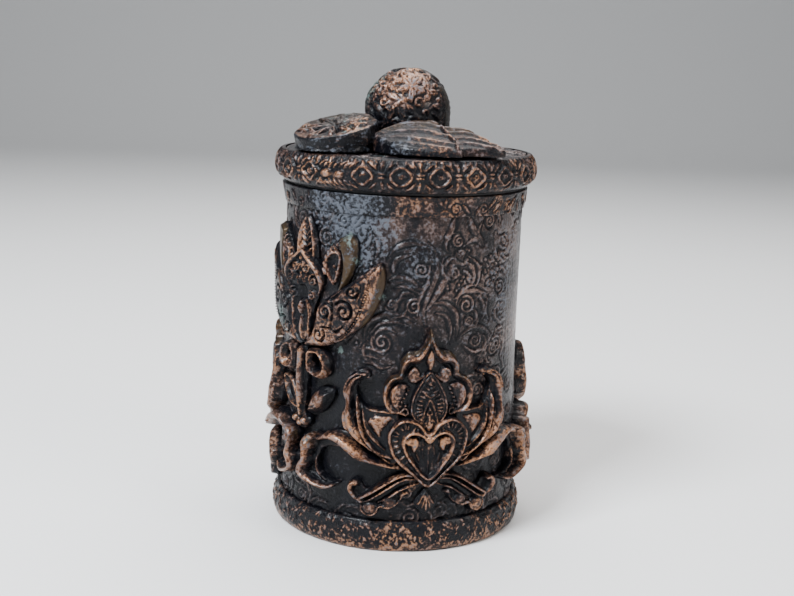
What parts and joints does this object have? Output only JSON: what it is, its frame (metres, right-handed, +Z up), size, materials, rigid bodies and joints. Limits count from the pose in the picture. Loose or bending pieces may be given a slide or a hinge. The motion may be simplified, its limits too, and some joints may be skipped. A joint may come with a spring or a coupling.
{
  "type": "lidded jar",
  "caption": "Hand-made lidded jar: a straight glass jar wrapped in stamped, copper-rubbed dark clay with moulded lotus and blossom sprays, and a lift-off plug lid with a ball knob.",
  "frame": {"origin": "middle of the underside of the jar, on the surface it stands on", "axes": "+Z up along the jar's axis, -Y towards the viewer (the front lotus spray is a little to the right of -Y), +X to the right"},
  "size_m": [0.0976, 0.0976, 0.1561],
  "materials": {
    "clay_black": "near-black stamped polymer clay, copper rubbed on the crests, satin varnish",
    "clay_copper": "moulded polymer clay, dark in the hollows, strongly rubbed with copper on the raised edges, satin varnish",
    "jar_glass": "clear polished glass",
    "lid_wood": "plain sanded wood, unpainted",
    "seal_rubber": "translucent white silicone"
  },
  "bodies": {
    "jar": {"glass_jar": "jar_glass", "base_clay": "clay_black", "wall_clay": "clay_black", "collar_band": "clay_black", "foot_band": "clay_black", "front_lotus_heart": "clay_copper", "front_lotus_frame": "clay_copper", "front_lotus_almond": "clay_copper", "front_lotus_bud": "clay_copper", "front_lotus_side_petal_left": "clay_copper", "front_lotus_scroll_leaf_left": "clay_copper", "front_lotus_lower_leaf_left": "clay_copper", "front_lotus_side_petal_right": "clay_copper", "front_lotus_scroll_leaf_right": "clay_copper", "front_lotus_lower_leaf_right": "clay_copper", "right_lotus_heart": "clay_copper", "right_lotus_frame": "clay_copper", "right_lotus_almond": "clay_copper", "right_lotus_bud": "clay_copper", "right_lotus_side_petal_left": "clay_copper", "right_lotus_scroll_leaf_left": "clay_copper", "right_lotus_lower_leaf_left": "clay_copper", "right_lotus_side_petal_right": "clay_copper", "right_lotus_scroll_leaf_right": "clay_copper", "right_lotus_lower_leaf_right": "clay_copper", "left_lotus_heart": "clay_copper", "left_lotus_frame": "clay_copper", "left_lotus_almond": "clay_copper", "left_lotus_bud": "clay_copper", "left_lotus_side_petal_left": "clay_copper", "left_lotus_scroll_leaf_left": "clay_copper", "left_lotus_lower_leaf_left": "clay_copper", "left_lotus_side_petal_right": "clay_copper", "left_lotus_scroll_leaf_right": "clay_copper", "left_lotus_lower_leaf_right": "clay_copper", "blossom_bud": "clay_copper", "blossom_centre_petal": "clay_copper", "blossom_tall_petal": "clay_copper", "blossom_stem": "clay_copper", "blossom_broad_petal_left": "clay_copper", "blossom_middle_petal_left": "clay_copper", "blossom_bow_loop_left": "clay_copper", "blossom_stem_leaf_left": "clay_copper", "blossom_broad_petal_right": "clay_copper", "blossom_middle_petal_right": "clay_copper", "blossom_bow_loop_right": "clay_copper", "blossom_stem_leaf_right": "clay_copper"},
    "lid": {"lid_core": "lid_wood", "lid_seal": "seal_rubber", "lid_sheet": "clay_black", "rim_band": "clay_copper", "knob_core": "lid_wood", "knob_skin": "clay_copper", "rosette_base": "clay_black", "rosette_top": "clay_copper", "wing_front_tier": "clay_copper", "wing_back_tier": "clay_copper"}
  },
  "joints": [
    {"name": "lid_lift", "type": "slide", "parent": "jar", "child": "lid", "axis": [0, 0, 1], "range_m": [0, 0.08]}
  ]
}
